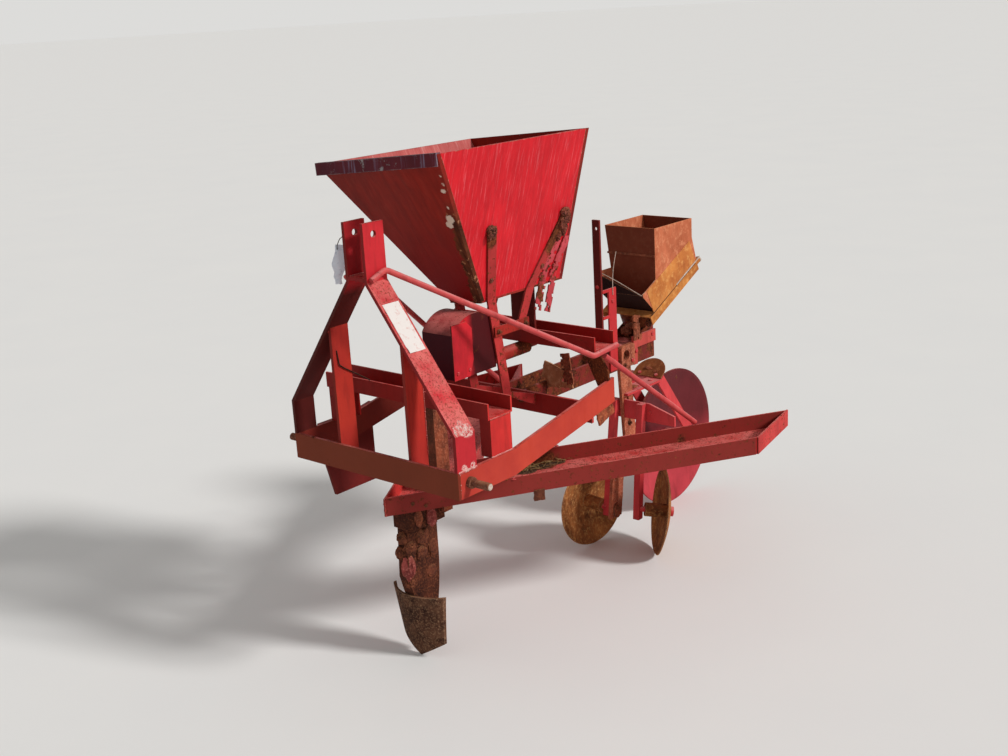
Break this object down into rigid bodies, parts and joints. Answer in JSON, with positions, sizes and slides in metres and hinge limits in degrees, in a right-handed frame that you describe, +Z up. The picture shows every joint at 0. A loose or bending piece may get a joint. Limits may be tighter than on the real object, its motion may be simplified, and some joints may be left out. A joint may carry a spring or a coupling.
{
  "type": "row crop planter",
  "caption": "Tractor-mounted row crop planter with a board fertilizer hopper, seed hopper, opener, covering discs and press wheel.",
  "frame": {"origin": "on the ground, under the middle of the planter's bounding box", "axes": "+X to the planter's right, +Y rearward, +Z up; the hitch faces -Y"},
  "size_m": [1.256, 1.839, 1.5069],
  "materials": {
    "frame_red": "faded red paint",
    "pin_steel": "worn bare steel",
    "board_red": "red paint over boards",
    "lip_red": "chipped red paint",
    "feed_red": "faded red paint",
    "strap_red": "red paint and rust",
    "standard_brown": "rust under thin paint",
    "ground_steel": "rust",
    "unit_red": "red paint and rust",
    "dark_iron": "dark rust",
    "seed_rust": "orange brown rust over paint",
    "wheel_red": "dull red paint",
    "disc_rust": "rust and dry soil"
  },
  "bodies": {
    "frame": {"front_bar": "frame_red", "side_rails": "frame_red", "mast_bars": "frame_red", "mast_spacer": "frame_red", "inner_uprights": "frame_red", "front_channel": "frame_red", "rear_channel": "frame_red", "channel_posts": "frame_red", "cross_bar": "frame_red", "brace_rods": "frame_red", "arm_rods": "frame_red", "low_arms": "frame_red", "left_drop_plate": "frame_red", "lower_pins": "pin_steel", "hopper_front_board": "board_red", "hopper_rear_board": "board_red", "hopper_right_board": "board_red", "hopper_left_board": "board_red", "hopper_floor": "board_red", "hopper_lip": "lip_red", "feed_box": "feed_red", "feed_tube": "feed_red", "hopper_straps": "strap_red", "strap_ties": "strap_red", "hopper_bearer": "strap_red", "middle_standard": "standard_brown", "foot_clamp": "standard_brown", "front_foot": "ground_steel", "shovel": "ground_steel", "opener_standard": "ground_steel", "opener_shoe": "ground_steel", "planter_beams": "unit_red", "base_plate": "unit_red", "lever_guide": "unit_red", "seed_stand": "unit_red", "disc_bars": "unit_red", "wheel_straps": "unit_red", "wheel_scraper": "unit_red", "lever": "dark_iron", "drive_gear": "dark_iron", "seed_pan": "dark_iron", "wheel_axle": "dark_iron", "disc_leg_left": "dark_iron", "disc_leg_right": "dark_iron", "seed_hopper": "seed_rust", "seed_tray": "seed_rust"},
    "press_wheel": {"press_wheel": "wheel_red"},
    "disc_left": {"covering_disc_left": "disc_rust"},
    "disc_right": {"covering_disc_right": "disc_rust"}
  },
  "joints": [
    {"name": "press_wheel_spin", "type": "hinge", "parent": "frame", "child": "press_wheel", "pos_m": [-0.025, 0.6605, 0.259], "axis": [1, 0, 0], "continuous": true},
    {"name": "disc_left_spin", "type": "hinge", "parent": "frame", "child": "disc_left", "pos_m": [-0.062, 0.1625, 0.155], "axis": [-0.9903, 0.1392, 0], "continuous": true},
    {"name": "disc_right_spin", "type": "hinge", "parent": "frame", "child": "disc_right", "pos_m": [0.178, 0.2305, 0.15309], "axis": [0.734, 0.6609, -0.1564], "continuous": true}
  ]
}
